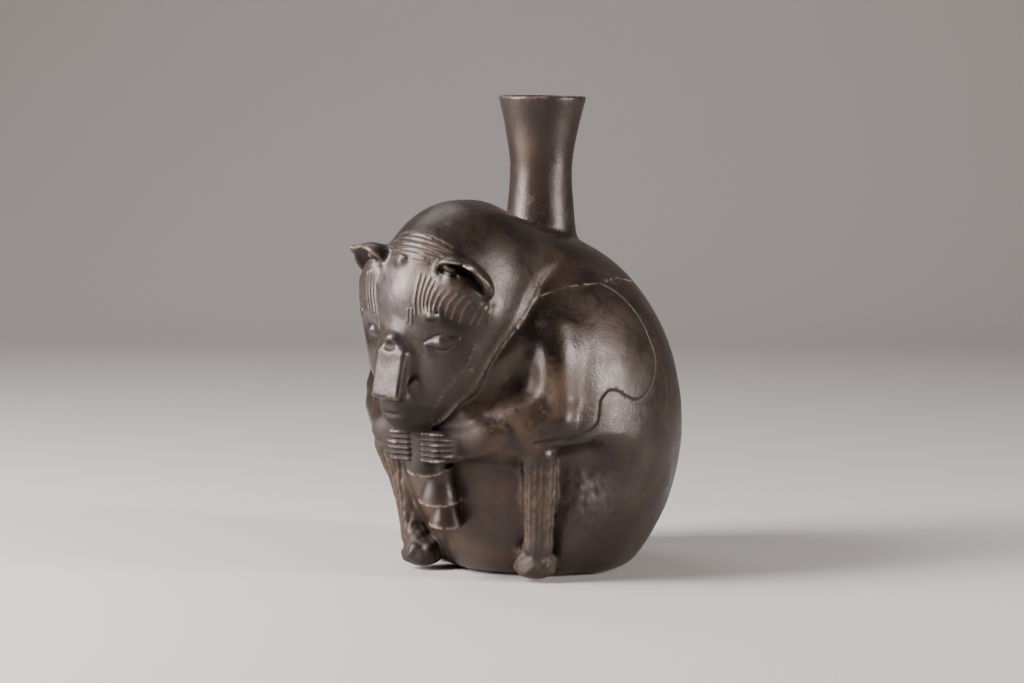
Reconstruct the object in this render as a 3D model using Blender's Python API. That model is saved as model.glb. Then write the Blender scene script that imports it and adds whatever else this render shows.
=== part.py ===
"""A burnished blackware bottle in the shape of a seated bear, with its head bowed over the stalk that it holds.

The figure is one hollow pot with a flaring spout behind its hump. +Z is up, the bear faces -Y, and its own left
side is at +X. The origin is on the table, in the middle of the vessel's base.
"""

import math

import bmesh
import bpy
import numpy as np
from mathutils import Euler

# Driving sizes, in metres.
FIGURE_HEIGHT = 0.172  # from the table to the top of the hump; it scales the whole figure
WALL = 0.0048  # the pot's wall
FLOOR = 0.0060  # its thickness under the base
SPOUT_LENGTH = 0.0680  # from the spout's root, inside the hump, to its lip
SPOUT_LIP_RADIUS = 0.0202
SPOUT_WAIST_RADIUS = 0.0146
SPOUT_ROOT_RADIUS = 0.0178
SPOUT_WAIST_SHARE = 0.50  # how far up the spout its waist is
SPOUT_WALL = 0.0036
LIP_THICKNESS = 0.0028
LIP_FLAT = 0.0008  # the flat on top of the lip
BORE_DEPTH = 0.0220  # how far the bore goes down from the spout's root into the hollow

# The figure's own scale: its places and sizes below are in units, 172 of them from the table to the hump.
UNIT = FIGURE_HEIGHT / 172.0

# The spout stands on the back, behind the hump, and leans a little to the bear's left.
SPOUT_BACK = 9.8
SPOUT_ROOT = 152.0
SPOUT_LEAN = 1.2

# How finely the figure and the hollow are drawn, in units, and the triangles that they keep.
FIGURE_STEP = 1.25
HOLLOW_STEP = 4.0
FIGURE_TRIANGLES = 7000
HOLLOW_TRIANGLES = 900
FIGURE_BOX = ((-90.0, -115.0, -8.0), (90.0, 85.0, 184.0))
SPOUT_SIDES = 32
SPOUT_RINGS = 9
LIP_RINGS = 2
TOUCH_FILL = 0.05  # how deep inside the surface a filled corner is taken to be
CORNERS = [(x, y, z) for x in (0, 1) for y in (0, 1) for z in (0, 1)]
BLOCK = 4  # grid points along a block, which is drawn finely only where the surface is near

# The round body, cut flat where it stands.
BODY_CENTRE = (0.0, 0.0, 68.0)
BODY_RADII = (73.0, 73.0, 90.0)
BASE_ROUNDING = 5.0

# The lap, where the front of the body falls back under the paws.
LAP_CENTRE = (0.0, -101.0, 16.0)
LAP_RADII = (47.0, 58.0, 50.0)

# The hood, the round back of the head and neck, and the jowls below it.
HOOD_CENTRE = (0.0, -45.0, 129.5)
HOOD_RADII = (42.0, 43.5, 43.5)
JOWL_TOP = (0.0, -47.0, 122.0)
JOWL_CHIN = (0.0, -66.0, 90.0)

# The head, in its own frame: X to the bear's left, Y back into the head, Z up its forehead.
HEAD_CENTRE = (0.0, -58.0, 124.0)
HEAD_TURN = (0.0, 5.5, 0.0)

# Each leg's knee, ankle and toe: the bearing from the front, the distance from the middle and the height.
LEGS = (
    ((42.0, 66.5, 57.0), (44.0, 50.5, 12.0), (44.5, 53.0, 5.5)),
    ((-47.0, 65.5, 57.0), (-41.0, 50.5, 12.0), (-34.0, 53.0, 5.5)),
)

# The stalk in the paws: where its first rim is, its lean, and each rim's place down the stalk and radius.
STALK_PLACE = (0.0, -70.4, 51.8)
STALK_LEAN = 29.0
STALK_RIMS = ((0.0, 8.9), (-17.0, 10.2), (-29.0, 8.8))


def local(points, centre, turn=(0.0, 0.0, 0.0)):
    """The points as a piece at centre sees them, when it is turned by these degrees about X, Y and Z."""
    frame = np.array(Euler([math.radians(angle) for angle in turn]).to_matrix())
    return (points - np.array(centre)) @ frame


def around_pot(bearing, distance, height):
    """A place given by its bearing from the front, in degrees, its distance from the middle and its height."""
    angle = math.radians(bearing)
    return (distance * math.sin(angle), -distance * math.cos(angle), height)


def length(vectors):
    return np.sqrt((vectors * vectors).sum(axis=-1))


def ellipsoid(points, centre, radii, turn=(0.0, 0.0, 0.0)):
    """About how far each point is outside an ellipsoid; less than zero inside it."""
    shape = np.array(radii)
    seen = local(points, centre, turn)
    near = length(seen / shape)
    steep = np.maximum(length(seen / shape**2), 1e-6)
    return near * (near - 1.0) / steep


def limb(points, start, end, start_radius, end_radius):
    """Distance from a tapering limb with round ends."""
    first = np.array(start)
    way = np.array(end) - first
    share = np.clip(((points - first) @ way) / (way @ way), 0.0, 1.0)
    axis = first + share[..., None] * way
    return length(points - axis) - (start_radius + share * (end_radius - start_radius))


def rounded_box(points, centre, half_sizes, rounding, turn=(0.0, 0.0, 0.0)):
    """Distance from a box with rounded edges."""
    beyond = np.abs(local(points, centre, turn)) - (np.array(half_sizes) - rounding)
    outside = length(np.maximum(beyond, 0.0))
    return outside + np.minimum(beyond.max(axis=-1), 0.0) - rounding


def join(first, second, softness):
    """Either form, with a fillet of this softness where they meet."""
    overlap = np.maximum(softness - np.abs(first - second), 0.0) / softness
    return np.minimum(first, second) - overlap * overlap * softness / 4.0


def carve(form, tool, softness):
    """The form without the tool, with edges of this softness."""
    return -join(-form, tool, softness)


def paired(points):
    """The points folded over to the bear's left, so that a piece made there shows on both sides."""
    return points * np.array((0.0, 1.0, 1.0)) + np.abs(points) * np.array((1.0, 0.0, 0.0))


def fade(value, start, end):
    """0 before start, 1 after end, and smooth between."""
    share = np.clip((value - start) / (end - start), 0.0, 1.0)
    return share * share * (3.0 - 2.0 * share)


def body(points):
    """The round belly and back, with the lap and the hollows beside the cheeks."""
    form = ellipsoid(points, BODY_CENTRE, BODY_RADII)
    form = carve(form, ellipsoid(points, LAP_CENTRE, LAP_RADII), 8.0)
    return carve(form, limb(paired(points), (34.0, -66.0, 97.0), (45.0, -57.0, 92.0), 8.5, 6.0), 9.0)


def hood(points):
    """The back of the head and the neck, down to the jowls."""
    form = ellipsoid(points, HOOD_CENTRE, HOOD_RADII)
    return join(form, limb(points, JOWL_TOP, JOWL_CHIN, 40.5, 20.0), 8.0)


def nape(points):
    """How softly the hood runs into the back: a fold at the sides, and a long slope behind."""
    return 1.5 + 18.0 * fade(points[..., 2] + 0.5 * points[..., 1], 118.0, 142.0)


def skull(points):
    """The cranium and cheeks, in the head's frame."""
    cranium = ellipsoid(points, (0.0, 0.0, 1.0), (41.0, 30.5, 31.0))
    cheeks = ellipsoid(paired(points), (12.0, -6.0, -20.0), (19.0, 22.0, 24.0))
    return join(cranium, cheeks, 10.0)


def ears(points):
    """A small hood over each ear's hollow, at the temples."""
    sides = paired(points)
    turn = (-14.0, 0.0, 40.0)
    form = ellipsoid(sides, (28.5, -20.5, 16.5), (11.5, 8.5, 9.5), turn)
    return carve(form, ellipsoid(sides, (29.5, -28.5, 11.0), (8.2, 7.6, 8.0), turn), 2.0)


def face(points):
    """Muzzle, jaw, brows, eyes and ears, on the skull."""
    sides = paired(points)
    form = skull(points)
    form = join(form, ellipsoid(points, (0.0, -10.0, -41.0), (16.0, 17.0, 10.5)), 5.0)
    form = carve(form, ellipsoid(sides, (24.0, -35.0, -13.0), (11.0, 8.0, 8.0)), 6.0)
    form = join(form, rounded_box(points, (0.0, -23.0, -25.5), (7.9, 14.2, 13.5), 1.8, (-2.0, 0.0, 0.0)), 5.0)
    form = join(form, limb(sides, (15.0, -28.5, -3.0), (26.0, -21.5, -2.0), 3.0, 2.4), 6.0)
    form = join(form, ellipsoid(sides, (20.5, -25.4, -11.5), (6.8, 3.2, 2.7), (0.0, 0.0, 32.0)), 1.2)
    form = join(form, ellipsoid(sides, (9.5, -29.5, -34.0), (3.2, 4.0, 3.2)), 3.0)
    form = join(form, ears(points), 2.0)
    form = join(form, ellipsoid(points, (-2.0, -31.5, -11.0), (5.0, 3.0, 3.0)), 3.0)
    form = carve(form, ellipsoid(points, (-1.0, -37.0, -15.0), (3.2, 3.0, 2.6)), 1.5)
    return join(form, ellipsoid(points, (-5.0, -27.0, 22.0), (3.4, 2.6, 3.4)), 0.6)


def arms(points):
    sides = paired(points)
    upper = limb(sides, (40.0, -30.0, 115.0), (50.5, -42.0, 85.0), 14.0, 9.5)
    fore = limb(sides, (51.5, -43.0, 77.5), (21.0, -67.0, 67.5), 8.0, 7.2)
    return upper, fore


def paws(points):
    """Six fingers on each side of the stalk."""
    sides = paired(points)
    form = ellipsoid(sides, (12.0, -70.5, 63.0), (9.0, 8.0, 8.6))
    for finger in range(6):
        up = 69.0 - 2.4 * finger
        out = -79.2 + 0.5 * finger
        form = join(form, limb(sides, (4.6, out - 0.6, up), (19.0, out + 5.0, up + 0.8), 1.35, 1.35), 0.4)
    return form


def legs(points):
    """Upright shins and rough feet, against the haunches."""
    form = np.full(points.shape[:-1], 1e3)
    for knee, ankle, toe in LEGS:
        knee_at, ankle_at, toe_at = around_pot(*knee), around_pot(*ankle), around_pot(*toe)
        form = join(form, limb(points, knee_at, ankle_at, 8.6, 7.6), 4.0)
        form = join(form, limb(points, ankle_at, toe_at, 7.5, 7.0), 4.0)
    return form


def haunches(points):
    sides = paired(points)
    form = ellipsoid(sides, around_pot(78.0, 57.0, 46.0), (16.0, 34.0, 36.0), (0.0, 0.0, -12.0))
    return join(form, limb(sides, around_pot(45.0, 66.0, 60.0), around_pot(75.0, 67.0, 66.0), 7.0, 7.0), 6.0)


def knee_hollow(points):
    """The deep hollow behind each knee, which narrows down the shin."""
    sides = paired(points)
    form = ellipsoid(sides, around_pot(61.0, 78.0, 51.0), (9.0, 8.5, 9.0), (0.0, 0.0, 60.0))
    return join(form, limb(sides, around_pot(56.5, 76.0, 50.0), around_pot(57.0, 60.5, 10.0), 4.5, 3.0), 6.0)


def stalk(points):
    """A stack of three flaring joints under the paws, and the stem that the paws hold."""
    seen = local(points, STALK_PLACE, (STALK_LEAN, 0.0, 0.0))
    around = length(seen[..., :2])
    form = limb(points, (0.0, -72.0, 70.0), STALK_PLACE, 6.0, 6.0)
    for rim_height, rim_radius in STALK_RIMS:
        up = seen[..., 2] - rim_height
        flare = rim_radius - 2.6 * fade(up, 0.0, 9.0)
        joint = np.maximum(np.maximum((around - flare) * 0.96, -up - 0.6), up - 12.0)
        form = join(form, joint, 0.8)
    return form


def figure(points):
    """The bear's outer surface: less than zero inside it."""
    upper_arms, forearms = arms(points)
    form = join(body(points), haunches(points), 6.0)
    form = carve(form, knee_hollow(points), 4.0)
    form = join(form, legs(points), 2.5)
    form = join(form, join(upper_arms, forearms, 4.0), 2.0 + 7.0 * fade(points[..., 2], 84.0, 96.0))
    form = join(form, stalk(points), 1.2)
    form = join(form, paws(points), 0.8)
    head = join(hood(points), face(local(points, HEAD_CENTRE, HEAD_TURN)), 4.0)
    form = join(form, head, nape(points))
    return carve(form, points[..., 2], BASE_ROUNDING)


def hollow(points):
    """The space inside, a wall's thickness in from the body and head."""
    head = join(hood(points), skull(local(points, HEAD_CENTRE, HEAD_TURN)), 6.0)
    form = join(body(points), head, nape(points)) + WALL / UNIT
    return carve(form, points[..., 2] - FLOOR / UNIT, BASE_ROUNDING)


def without_touching(grid):
    """The grid with its surface's touching corners filled, so that no two sheets share an edge or a point."""
    while True:
        corners = {c: grid[tuple(slice(k, k + n - 1) for k, n in zip(c, grid.shape))] for c in CORNERS}
        inside = {c: corners[c] < 0.0 for c in CORNERS}
        touching = np.zeros(inside[CORNERS[0]].shape, bool)
        for axis in range(3):
            for side in (0, 1):
                a, b, c, d = (inside[corner] for corner in CORNERS if corner[axis] == side)
                touching |= (a == d) & (b == c) & (a != b)
        count = sum(inside[corner].astype(int) for corner in CORNERS)
        for corner in CORNERS[:4]:
            opposite = tuple(1 - k for k in corner)
            same = inside[corner] == inside[opposite]
            touching |= same & (count == np.where(inside[corner], 2, 6))
        if not touching.any():
            return grid
        for corner in CORNERS:
            fill = touching & ~inside[corner]
            corners[corner][fill] = -TOUCH_FILL


def surface_net(field, low, high, step):
    """Points and quads of the surface where the field is zero, on a grid with this step."""
    blocks = np.ceil((np.array(high) - np.array(low)) / (BLOCK * step)).astype(int)
    counts = blocks * BLOCK
    middles = np.moveaxis(np.indices(blocks), 0, -1) * BLOCK + (BLOCK - 1) / 2
    middle_values = field(middles * step + np.array(low))
    grid = middle_values
    for axis in range(3):
        grid = grid.repeat(BLOCK, axis)
    near = np.argwhere(np.abs(middle_values) < 1.3 * BLOCK * step)
    inner = np.moveaxis(np.indices((BLOCK, BLOCK, BLOCK)), 0, -1).reshape(-1, 3)
    cells = (near[:, None] * BLOCK + inner).reshape(-1, 3)
    grid[tuple(cells.T)] = field(cells * step + np.array(low))
    grid = without_touching(grid)
    total = np.zeros((counts.prod(), 3))
    share = np.zeros(counts.prod())
    rings = []
    for axis in range(3):
        start = grid[tuple(slice(None, -1) if a == axis else slice(None) for a in range(3))]
        end = grid[tuple(slice(1, None) if a == axis else slice(None) for a in range(3))]
        edges = np.argwhere((start < 0) != (end < 0))
        first, last = start[tuple(edges.T)], end[tuple(edges.T)]
        crossing = edges.astype(float)
        crossing[:, axis] += first / (first - last)
        one, other = np.eye(3, dtype=int)[[(axis + 1) % 3, (axis + 2) % 3]]
        ring = [edges - one * a - other * b for a, b in ((0, 0), (1, 0), (1, 1), (0, 1))]
        cells = np.stack([np.ravel_multi_index(cell.T, counts) for cell in ring], axis=1)
        for corner in range(4):
            share += np.bincount(cells[:, corner], minlength=len(share))
            for a in range(3):
                total[:, a] += np.bincount(cells[:, corner], crossing[:, a], len(share))
        rings.append(np.where((first < 0)[:, None], cells, cells[:, ::-1]))
    used = np.flatnonzero(share)
    index = np.zeros(len(share), int)
    index[used] = np.arange(len(used))
    points = total[used] / share[used, None] * step + np.array(low)
    return points, index[np.concatenate(rings)]


def sculpted(name, field, low, high, step, triangles):
    """An object whose surface is the field's, thinned to about this many triangles."""
    points, quads = surface_net(field, low, high, step)
    mesh = bpy.data.meshes.new(name)
    mesh.from_pydata((points * UNIT).tolist(), [], quads.tolist())
    mesh.validate()
    piece = bpy.data.objects.new(name, mesh)
    bpy.context.scene.collection.objects.link(piece)
    thin = piece.modifiers.new("thin", "DECIMATE")
    thin.ratio = triangles / (2 * len(quads))
    return piece


def turned(name, profile, sides):
    """An object turned about Z from a profile of radii and heights, listed up its outer side and down again."""
    mesh = bpy.data.meshes.new(name)
    shape = bmesh.new()
    rings = []
    for radius, height in profile:
        turns = [2.0 * math.pi * side / sides for side in range(sides)]
        rings.append([shape.verts.new((radius * math.cos(t), radius * math.sin(t), height)) for t in turns])
    for lower, upper in zip(rings, rings[1:]):
        for side in range(sides):
            after = (side + 1) % sides
            shape.faces.new((lower[side], lower[after], upper[after], upper[side]))
    shape.faces.new(rings[0][::-1])
    shape.faces.new(rings[-1])
    shape.to_mesh(mesh)
    shape.free()
    piece = bpy.data.objects.new(name, mesh)
    bpy.context.scene.collection.objects.link(piece)
    return piece


def spout_radius(share):
    """The spout's outer radius, this share of the way from its root to its lip."""
    below = (SPOUT_ROOT_RADIUS - SPOUT_WAIST_RADIUS) * max(0.0, 1.0 - share / SPOUT_WAIST_SHARE) ** 2
    above = max(0.0, (share - SPOUT_WAIST_SHARE) / (1.0 - SPOUT_WAIST_SHARE))
    return SPOUT_WAIST_RADIUS + below + (SPOUT_LIP_RADIUS - SPOUT_WAIST_RADIUS) * above**2


def spout_profile():
    """Up the spout's outside, from its root to the flat on top of its rounded lip."""
    shares = [step / SPOUT_RINGS for step in range(SPOUT_RINGS)]
    profile = [(spout_radius(share), SPOUT_LENGTH * share) for share in shares]
    rounding = (LIP_THICKNESS - LIP_FLAT) / 2
    for turn in range(LIP_RINGS + 1):
        angle = math.pi / 2 * turn / LIP_RINGS
        radius = SPOUT_LIP_RADIUS - rounding * (1.0 - math.cos(angle))
        profile.append((radius, SPOUT_LENGTH - rounding * (1.0 - math.sin(angle))))
    return profile


def bore_profile():
    """Up the bore, from inside the pot to just over the lip."""
    shares = [step / SPOUT_RINGS for step in range(SPOUT_RINGS)]
    profile = [(SPOUT_ROOT_RADIUS - SPOUT_WALL, -BORE_DEPTH)]
    profile += [(spout_radius(share) - SPOUT_WALL, SPOUT_LENGTH * share) for share in shares]
    rounding = (LIP_THICKNESS - LIP_FLAT) / 2
    inner = SPOUT_LIP_RADIUS - LIP_THICKNESS
    profile.append((inner, SPOUT_LENGTH - rounding))
    profile.append((inner + rounding, SPOUT_LENGTH + LIP_THICKNESS))
    return profile


def combined(piece, other, operation):
    """Add the other object to the piece, or cut it out, and hide it."""
    other.hide_render = True
    other.display_type = "WIRE"
    change = piece.modifiers.new(operation.lower(), "BOOLEAN")
    change.operation = operation
    change.object = other


def blackware():
    """Burnished and smoked clay: dark brown-grey, with a low satin shine."""
    material = bpy.data.materials.new("blackware")
    material.use_nodes = True
    shader = material.node_tree.nodes["Principled BSDF"]
    shader.inputs["Base Color"].default_value = (0.058, 0.043, 0.036, 1.0)
    shader.inputs["Roughness"].default_value = 0.38
    shader.inputs["Metallic"].default_value = 0.0
    return material


def main():
    for old in list(bpy.data.objects):
        bpy.data.objects.remove(old)
    vessel = sculpted("bear_vessel", figure, *FIGURE_BOX, FIGURE_STEP, FIGURE_TRIANGLES)
    cavity = sculpted("cavity", hollow, *FIGURE_BOX, HOLLOW_STEP, HOLLOW_TRIANGLES)
    spout = turned("spout", spout_profile(), SPOUT_SIDES)
    bore = turned("bore", bore_profile(), SPOUT_SIDES)
    for tube in (spout, bore):
        tube.location = (0.0, SPOUT_BACK * UNIT, SPOUT_ROOT * UNIT)
        tube.rotation_euler = (0.0, math.radians(SPOUT_LEAN), 0.0)
    combined(vessel, spout, "UNION")
    combined(vessel, cavity, "DIFFERENCE")
    combined(vessel, bore, "DIFFERENCE")
    vessel.data.materials.append(blackware())
    vessel.data.shade_smooth()


main()
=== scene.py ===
import math

import bpy
import numpy as np
from mathutils import Euler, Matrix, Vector, kdtree


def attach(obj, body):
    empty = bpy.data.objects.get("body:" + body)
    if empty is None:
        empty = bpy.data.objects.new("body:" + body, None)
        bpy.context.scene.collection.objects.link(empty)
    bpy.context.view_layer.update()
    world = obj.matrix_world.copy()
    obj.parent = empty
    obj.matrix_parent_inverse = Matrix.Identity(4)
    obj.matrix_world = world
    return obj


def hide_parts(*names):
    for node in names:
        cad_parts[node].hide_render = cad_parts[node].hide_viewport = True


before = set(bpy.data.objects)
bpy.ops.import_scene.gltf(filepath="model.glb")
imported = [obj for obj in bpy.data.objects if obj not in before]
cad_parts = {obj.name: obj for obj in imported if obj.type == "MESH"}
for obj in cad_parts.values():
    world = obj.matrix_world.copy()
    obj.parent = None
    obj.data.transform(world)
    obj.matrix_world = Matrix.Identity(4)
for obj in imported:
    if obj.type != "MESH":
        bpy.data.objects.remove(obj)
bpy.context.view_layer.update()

# The figure's scale: places and sizes below are in millimetres on a figure 172 mm tall, apart from its spout.
UNIT = 0.001
WALL = 4.8
FLOOR = 6.0

# The spout, its places and radii.
SPOUT_BACK = 9.8
SPOUT_ROOT = 152.0
SPOUT_LEAN = 1.2
SPOUT_LENGTH = 68.0
SPOUT_LIP_RADIUS = 20.8
SPOUT_WAIST_RADIUS = 14.7
SPOUT_ROOT_RADIUS = 17.8
SPOUT_WAIST_SHARE = 0.50
SPOUT_FLARE = 1.6
SPOUT_WALL = 3.6
LIP_ROUNDING = 1.2
BORE_DEPTH = 22.0

# The camera stands as the photograph's did: its bearing from the bear's front, its fall, distance and height.
CAMERA_BEARING = 40.0
CAMERA_FALL = 4.87
CAMERA_DISTANCE = 1.350
CAMERA_HEIGHT = 0.220
CAMERA_ASIDE = -0.0068
LENS = 101.4
SENSOR = 36.0
PHOTO_WIDTH = 1024
PHOTO_HEIGHT = 683

# The pale floor, which sweeps up behind the vessel.
SWEEP_BACK = 1.2
SWEEP_RADIUS = 0.9

# The grid that the surface is first read on, and the edge lengths that it is refined to.
BOX = ((-82.0, -106.0, -6.0), (82.0, 80.0, 226.0))
STEP = 1.8
BLOCK = 4
BAND = 5.5
CORNERS = [(x, y, z) for x in (0, 1) for y in (0, 1) for z in (0, 1)]
TOUCH_FILL = 0.05
BODY_EDGE = 2.3
HEAD_EDGE = 1.1
FACE_EDGE = 0.8
HAND_EDGE = 0.75
LEG_EDGE = 0.9
LIP_EDGE = 1.0
LINE_EDGE = 0.46
INSIDE_EDGE = 4.0
EDGE_SLACK = 1.35
MOST_TRIANGLES = 186000

# The round body, cut flat where it stands.
BODY_CENTRE = (0.0, 0.0, 68.0)
BODY_RADII = (73.0, 73.0, 90.0)
BASE_ROUNDING = 5.0

# The belly and the sides are pressed in below the thighs.
PRESS = 8.0
BELLY_PRESS = 4.0
PRESS_END = 93.0

# The hollow between the fold and the upper arm: places around the pot and radii.
ARMPITS = (((41.0, 72.5, 106.0), 8.5), ((36.5, 75.0, 95.0), 11.0), ((24.0, 79.0, 84.5), 10.0))

# The hood, the round back of the head and neck, and the jowls below it.
HOOD_CENTRE = (0.0, -45.0, 129.5)
HOOD_RADII = (36.5, 44.0, 43.5)
JOWLS = (((0.0, -47.0, 122.0), 35.0), ((0.0, -57.4, 104.5), 29.5), ((0.0, -66.0, 90.0), 20.0))

# The head, in its own frame: X to the bear's left, Y back into the head, Z up its forehead.
HEAD_CENTRE = (0.0, -58.0, 124.0)
HEAD_TURN = (0.0, 5.5, 0.0)
EAR_PLACE = (27.5, -20.0, 17.5)
EAR_TURN = (-8.0, 28.0, 42.0)
BOSSES = (
    ((-1.2, -32.8, -12.0), (-1.0, -35.5, -15.2)),
    ((16.5, -27.6, 0.5), (18.8, -29.3, -3.6)),
    ((-29.5, -19.6, 1.0), (-30.5, -21.0, -3.4)),
)
BUTTON = (-4.2, -26.2, 22.4)
EYE = (20.0, -24.0, -11.3)
EYE_CORNERS = ((14.8, -27.7, -12.3), (26.8, -20.2, -8.8))

# Each leg's knee, shin, ankle and toe: bearing from the front, distance from the middle and height.
LEGS = (
    ((44.5, 64.0, 60.0), (45.5, 58.0, 40.0), (45.5, 53.5, 17.0), (44.5, 50.0, 7.0)),
    ((-46.0, 63.5, 58.0), (-44.0, 55.5, 39.0), (-40.0, 53.0, 17.0), (-34.0, 50.5, 7.5)),
)

# The stalk in the paws: where the middle of each joint's rim is, the rim's radius, and how the joints lean.
STALK_JOINTS = (((0.0, -71.0, 51.2), 8.3), ((0.0, -61.8, 36.8), 9.3), ((0.0, -57.0, 25.6), 8.0))
STALK_TURN = (13.0, 0.0, 40.0)

# The fingers: where they run in plan, the topmost one's height, and how far apart and how deep they are.
FINGERS = ((5.6, -75.8, 0.0), (11.5, -75.7, 0.0), (20.0, -72.2, 0.0))
FINGER_TOP = 68.8
FINGER_PITCH = 2.4
FINGER_RELIEF = 0.6

# The regions outside which the head, and the paws with their stalk, are not worked out.
HEAD_REGION = ((-60.0, -112.0, 55.0), (60.0, -12.0, 180.0))
HAND_REGION = ((-32.0, -100.0, 8.0), (32.0, -44.0, 86.0))


def local(points, centre, turn=(0.0, 0.0, 0.0)):
    """The points as a piece at centre sees them, when it is turned by these degrees about X, Y and Z."""
    axes = np.array(Euler([math.radians(angle) for angle in turn]).to_matrix())
    return (points - np.array(centre)) @ axes


def around_pot(bearing, distance, height):
    """A place given by its bearing from the front, in degrees, its distance from the middle and height."""
    angle = math.radians(bearing)
    return (distance * math.sin(angle), -distance * math.cos(angle), height)


def length(vectors):
    return np.sqrt((vectors * vectors).sum(axis=-1))


def ellipsoid(points, centre, radii, turn=(0.0, 0.0, 0.0)):
    """About how far each point is outside an ellipsoid; less than zero inside it."""
    shape = np.array(radii)
    seen = local(points, centre, turn)
    near = length(seen / shape)
    steep = np.maximum(length(seen / shape**2), 1e-6)
    return near * (near - 1.0) / steep


def limb(points, start, end, start_radius, end_radius):
    """Distance from a tapering limb with round ends."""
    first = np.array(start)
    way = np.array(end) - first
    share = np.clip(((points - first) @ way) / (way @ way), 0.0, 1.0)
    axis = first + share[..., None] * way
    return length(points - axis) - (start_radius + share * (end_radius - start_radius))


def rounded_box(points, centre, half_sizes, rounding, turn=(0.0, 0.0, 0.0)):
    """Distance from a box with rounded edges."""
    beyond = np.abs(local(points, centre, turn)) - (np.array(half_sizes) - rounding)
    outside = length(np.maximum(beyond, 0.0))
    return outside + np.minimum(beyond.max(axis=-1), 0.0) - rounding


def join(first, second, softness):
    """Either form, with a fillet of this softness where they meet."""
    overlap = np.maximum(softness - np.abs(first - second), 0.0) / softness
    return np.minimum(first, second) - overlap * overlap * softness / 4.0


def carve(form, tool, softness):
    """The form without the tool, with edges of this softness."""
    return -join(-form, tool, softness)


def paired(points):
    """The points folded over to the bear's left, so that a piece made there shows on both sides."""
    return points * np.array((0.0, 1.0, 1.0)) + np.abs(points) * np.array((1.0, 0.0, 0.0))


def fade(value, start, end):
    """0 before start, 1 after end, and smooth between."""
    share = np.clip((value - start) / (end - start), 0.0, 1.0)
    return share * share * (3.0 - 2.0 * share)


def within(points, region):
    low, high = region
    return ((points > np.array(low)) & (points < np.array(high))).all(axis=-1)


def body(points):
    """The round belly and back, pressed in below the thighs, with hollows between the cheeks and the arms."""
    height = points[..., 2]
    bearing = np.degrees(np.arctan2(np.abs(points[..., 0]), -points[..., 1]))
    edge = 63.5 + 2.5 * fade(bearing, 41.0, 50.0) + 3.0 * fade(bearing, 58.0, 66.0)
    slope = 12.0 - 3.0 * fade(bearing, 34.0, 44.0) + 14.0 * fade(bearing, 64.0, 84.0)
    pressed = fade(edge - height, 0.0, slope) * fade(PRESS_END - bearing, 0.0, 26.0)
    pressed = pressed * (1.0 - 0.6 * fade(56.0 - height, 0.0, 28.0) * fade(bearing, 49.0, 58.0))
    deeper = BELLY_PRESS * fade(64.0 - bearing, 0.0, 12.0) * fade(height, 2.0, 20.0)
    form = ellipsoid(points, BODY_CENTRE, BODY_RADII) + (PRESS + deeper) * pressed
    sides = paired(points)
    for (start, wide), (end, narrow) in zip(ARMPITS, ARMPITS[1:]):
        form = carve(form, limb(sides, around_pot(*start), around_pot(*end), wide, narrow), 4.0)
    behind_knee = ellipsoid(sides, around_pot(61.0, 69.0, 54.5), (12.0, 7.0, 8.5), (0.0, 0.0, 61.0))
    form = carve(form, behind_knee, 5.0)
    form = carve(form, limb(sides, around_pot(53.0, 66.5, 55.0), around_pot(53.5, 60.5, 24.0), 4.0, 2.5), 3.0)
    return carve(form, limb(sides, around_pot(34.5, 64.5, 50.0), around_pot(35.0, 57.5, 20.0), 3.0, 2.0), 3.0)


def hood(points):
    """The back of the head and the neck, down to the jowls."""
    form = ellipsoid(points, HOOD_CENTRE, HOOD_RADII)
    for (start, wide), (end, narrow) in zip(JOWLS, JOWLS[1:]):
        form = join(form, limb(points, start, end, wide, narrow), 4.0)
    return form


def fold(points):
    """The hood with the raised rim that it has where it meets the shoulders."""
    rim = np.exp(-(((body(points) - 2.4) / 1.4) ** 2)) * fade(-points[..., 2], -158.0, -140.0)
    return hood(points) - 1.3 * rim


def nape(points):
    """How softly the hood runs into the back: a fold at the sides, and a long slope behind."""
    return 1.2 + 18.0 * fade(points[..., 2] + 0.5 * points[..., 1], 112.0, 150.0)


def skull(points):
    """The cranium and cheeks, in the head's frame."""
    cranium = ellipsoid(points, (-4.0, 0.0, 1.0), (40.0, 30.5, 30.0))
    cheeks = ellipsoid(paired(points), (12.0, -6.0, -20.0), (19.0, 22.0, 24.0))
    return join(cranium, cheeks, 10.0)


def ears(points):
    """An open shell at each temple, like a small pointed hood over the ear's hollow."""
    sides = paired(points)
    seen = local(sides, EAR_PLACE, EAR_TURN)
    form = ellipsoid(seen, (0.0, 0.0, 0.0), (14.8, 11.5, 9.0))
    form = join(form, limb(seen, (0.0, -2.0, 2.0), (0.0, -13.6, 5.6), 6.0, 0.9), 3.0)
    form = carve(form, seen[..., 2] + 2.0 + 0.6 * seen[..., 1], 2.0)
    form = carve(form, ellipsoid(seen, (-1.0, -4.5, -4.2), (13.2, 12.5, 9.2)), 0.8)
    form = join(form, ellipsoid(seen, (1.5, 3.0, -3.0), (11.5, 7.0, 6.6)), 1.5)
    form = join(form, ellipsoid(seen, (-8.5, 0.5, 1.0), (3.4, 4.0, 2.0)), 1.0)
    return carve(form, ellipsoid(seen, (-4.8, -5.0, -0.2), (2.3, 4.0, 2.0)), 0.8)


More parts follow.
